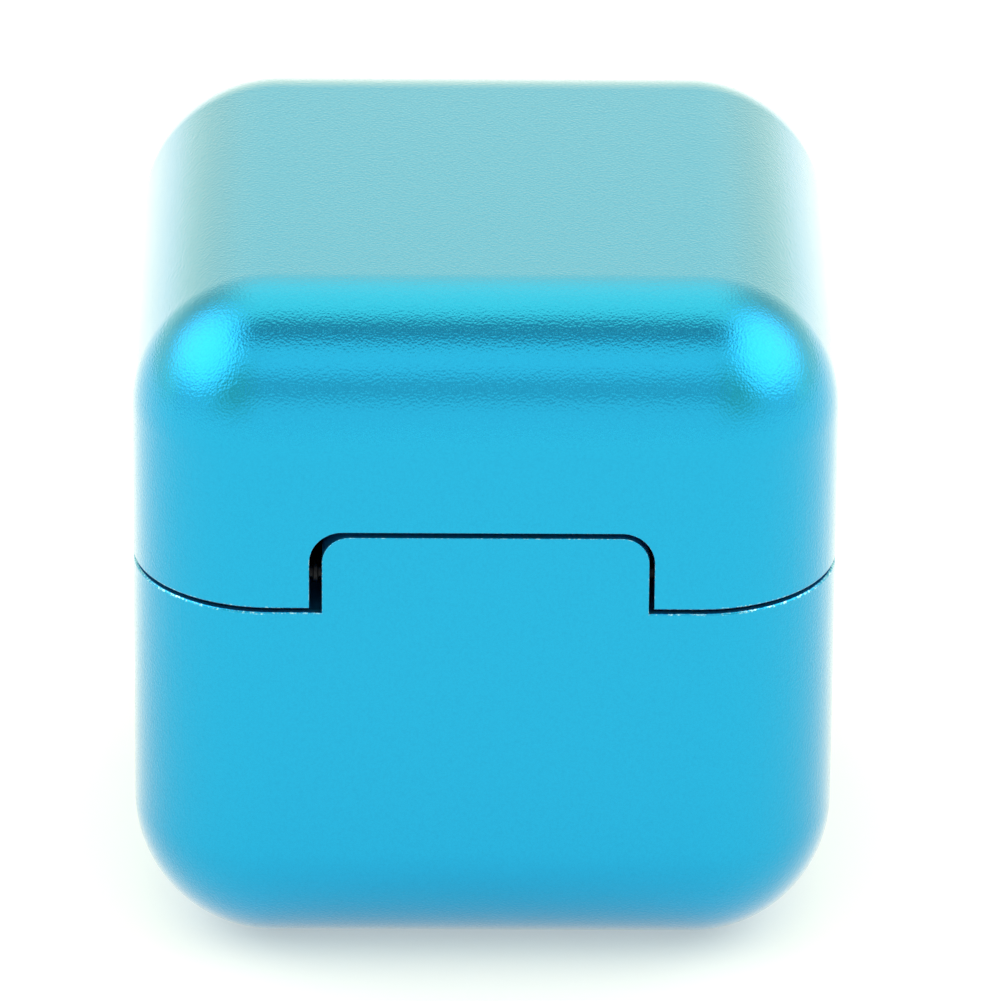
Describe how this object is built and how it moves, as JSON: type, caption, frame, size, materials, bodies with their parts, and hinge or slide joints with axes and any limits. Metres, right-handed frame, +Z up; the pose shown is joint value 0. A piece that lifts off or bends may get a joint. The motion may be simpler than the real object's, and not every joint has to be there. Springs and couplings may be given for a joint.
{
  "type": "flip-lid fidget cube",
  "caption": "Rounded metal fidget cube with a lid that flips open on a hidden hinge and snaps shut on magnets over a lined pocket.",
  "frame": {"origin": "centre of the underside", "axes": "+Z up; the hinge is on the -Y side and its axis runs along X; +X is to the right when facing the hinge side"},
  "size_m": [0.033, 0.035, 0.0335],
  "materials": {
    "anodised_aluminium": "satin blue anodised over fine bead blasting",
    "blacked_steel": "black oxide steel",
    "spring_steel": "bright drawn spring wire",
    "black_acetal": "turned black acetal",
    "nickel_plate": "nickel-plated neodymium magnet",
    "liner_plastic": "fine-textured black moulding",
    "felt": "charcoal wool felt",
    "silicone": "matte dark grey silicone"
  },
  "bodies": {
    "base": {"base_shell": "anodised_aluminium", "base_liner": "liner_plastic", "base_pad": "felt", "hinge_barrel": "blacked_steel", "hinge_fixed_tip": "blacked_steel", "hinge_spring": "spring_steel", "base_magnet_left": "nickel_plate", "base_magnet_right": "nickel_plate", "rim_bumper_left": "silicone", "rim_bumper_right": "silicone", "base_liner_screw_left": "blacked_steel", "base_liner_screw_right": "blacked_steel"},
    "lid": {"lid_shell": "anodised_aluminium", "lid_liner": "liner_plastic", "lid_pad": "felt", "lid_magnet_left": "nickel_plate", "lid_magnet_right": "nickel_plate", "lid_liner_screw_left": "blacked_steel", "lid_liner_screw_right": "blacked_steel", "ear_bush_left": "black_acetal", "ear_bush_right": "black_acetal"},
    "sliding_tip": {"hinge_sliding_tip": "blacked_steel"}
  },
  "joints": [
    {"name": "lid_hinge", "type": "hinge", "parent": "base", "child": "lid", "pos_m": [0, -0.0165, 0.02085], "axis": [1, 0, 0], "range_deg": [0, 117]},
    {"name": "tip_slide", "type": "slide", "parent": "base", "child": "sliding_tip", "axis": [1, 0, 0], "range_m": [0, 0.0014], "stiffness_N_per_m": 100, "deforming": ["hinge_spring"]}
  ]
}
